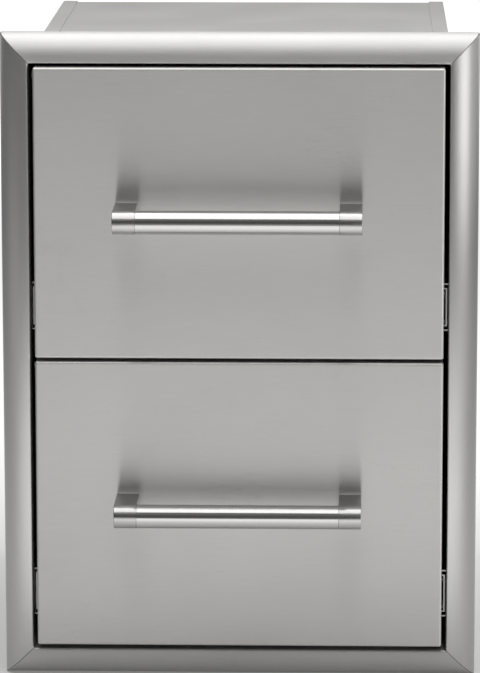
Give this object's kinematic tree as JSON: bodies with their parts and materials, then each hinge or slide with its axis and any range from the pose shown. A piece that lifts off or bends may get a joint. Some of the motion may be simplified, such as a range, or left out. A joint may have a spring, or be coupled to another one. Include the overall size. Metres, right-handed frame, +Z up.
{
  "type": "outdoor kitchen drawer unit",
  "caption": "Built-in stainless steel drawer cabinet with a rounded mitred trim frame, stacked full-extension drawers with bar handles, and ball-bearing slides.",
  "frame": {"origin": "on the underside of the cabinet box, midway between its sides, in the plane of the wall that the trim frame seats against", "axes": "+Z up; -Y out of the wall, the way the drawers open; +X to the right seen from the front"},
  "size_m": [0.444, 0.5737, 0.61],
  "materials": {
    "trim_steel": "satin stainless, grain along each member",
    "cabinet_steel": "mill-finish stainless sheet",
    "front_steel": "brushed stainless, grain from side to side",
    "box_steel": "mill-finish stainless sheet",
    "handle_steel": "fine satin stainless, grain along the bar",
    "slide_steel": "rolled stainless strip",
    "cage_steel": "pressed stainless strip",
    "ball_steel": "polished",
    "fastener_steel": "plain stainless",
    "bumper_plastic": "moulded"
  },
  "bodies": {
    "cabinet": {"cabinet_back": "cabinet_steel", "cabinet_bottom": "cabinet_steel", "cabinet_side_left": "cabinet_steel", "cabinet_side_right": "cabinet_steel", "cabinet_slide_rivets": "fastener_steel", "cabinet_top": "cabinet_steel", "lower_slide_outer_left": "slide_steel", "lower_slide_outer_right": "slide_steel", "slide_rear_bumpers": "bumper_plastic", "trim_bottom": "trim_steel", "trim_left": "trim_steel", "trim_right": "trim_steel", "trim_top": "trim_steel", "upper_slide_outer_left": "slide_steel", "upper_slide_outer_right": "slide_steel"},
    "upper_drawer": {"upper_box_back": "box_steel", "upper_box_bottom": "box_steel", "upper_box_front": "box_steel", "upper_box_side_left": "box_steel", "upper_box_side_right": "box_steel", "upper_drawer_screws": "fastener_steel", "upper_front_liner": "box_steel", "upper_front_panel": "front_steel", "upper_handle_bar": "handle_steel", "upper_handle_post_left": "handle_steel", "upper_handle_post_right": "handle_steel", "upper_slide_inner_left": "slide_steel", "upper_slide_inner_right": "slide_steel", "upper_slide_rivets": "fastener_steel"},
    "lower_drawer": {"lower_box_back": "box_steel", "lower_box_bottom": "box_steel", "lower_box_front": "box_steel", "lower_box_side_left": "box_steel", "lower_box_side_right": "box_steel", "lower_drawer_screws": "fastener_steel", "lower_front_liner": "box_steel", "lower_front_panel": "front_steel", "lower_handle_bar": "handle_steel", "lower_handle_post_left": "handle_steel", "lower_handle_post_right": "handle_steel", "lower_slide_inner_left": "slide_steel", "lower_slide_inner_right": "slide_steel", "lower_slide_rivets": "fastener_steel"},
    "upper_slide_mid": {"upper_slide_mid_left": "slide_steel", "upper_slide_mid_right": "slide_steel"},
    "lower_slide_mid": {"lower_slide_mid_left": "slide_steel", "lower_slide_mid_right": "slide_steel"},
    "upper_outer_cages": {"upper_outer_balls": "ball_steel", "upper_outer_cage_left": "cage_steel", "upper_outer_cage_right": "cage_steel"},
    "upper_inner_cages": {"upper_inner_balls": "ball_steel", "upper_inner_cage_left": "cage_steel", "upper_inner_cage_right": "cage_steel"},
    "lower_outer_cages": {"lower_outer_balls": "ball_steel", "lower_outer_cage_left": "cage_steel", "lower_outer_cage_right": "cage_steel"},
    "lower_inner_cages": {"lower_inner_balls": "ball_steel", "lower_inner_cage_left": "cage_steel", "lower_inner_cage_right": "cage_steel"}
  },
  "joints": [
    {"name": "upper_drawer_slide", "type": "slide", "parent": "cabinet", "child": "upper_drawer", "axis": [0, -1, 0], "range_m": [0, 0.45]},
    {"name": "upper_slide_mid_travel", "type": "slide", "parent": "cabinet", "child": "upper_slide_mid", "axis": [0, -1, 0], "range_m": [0, 0.225]},
    {"name": "upper_outer_cages_travel", "type": "slide", "parent": "cabinet", "child": "upper_outer_cages", "axis": [0, -1, 0], "range_m": [0, 0.1125]},
    {"name": "upper_inner_cages_travel", "type": "slide", "parent": "cabinet", "child": "upper_inner_cages", "axis": [0, -1, 0], "range_m": [0, 0.3375]},
    {"name": "lower_drawer_slide", "type": "slide", "parent": "cabinet", "child": "lower_drawer", "axis": [0, -1, 0], "range_m": [0, 0.45]},
    {"name": "lower_slide_mid_travel", "type": "slide", "parent": "cabinet", "child": "lower_slide_mid", "axis": [0, -1, 0], "range_m": [0, 0.225]},
    {"name": "lower_outer_cages_travel", "type": "slide", "parent": "cabinet", "child": "lower_outer_cages", "axis": [0, -1, 0], "range_m": [0, 0.1125]},
    {"name": "lower_inner_cages_travel", "type": "slide", "parent": "cabinet", "child": "lower_inner_cages", "axis": [0, -1, 0], "range_m": [0, 0.3375]}
  ],
  "couplings": [
    {"joint": "upper_slide_mid_travel", "follows": "upper_drawer_slide", "ratio": 0.5},
    {"joint": "upper_outer_cages_travel", "follows": "upper_drawer_slide", "ratio": 0.25},
    {"joint": "upper_inner_cages_travel", "follows": "upper_drawer_slide", "ratio": 0.75},
    {"joint": "lower_slide_mid_travel", "follows": "lower_drawer_slide", "ratio": 0.5},
    {"joint": "lower_outer_cages_travel", "follows": "lower_drawer_slide", "ratio": 0.25},
    {"joint": "lower_inner_cages_travel", "follows": "lower_drawer_slide", "ratio": 0.75}
  ]
}
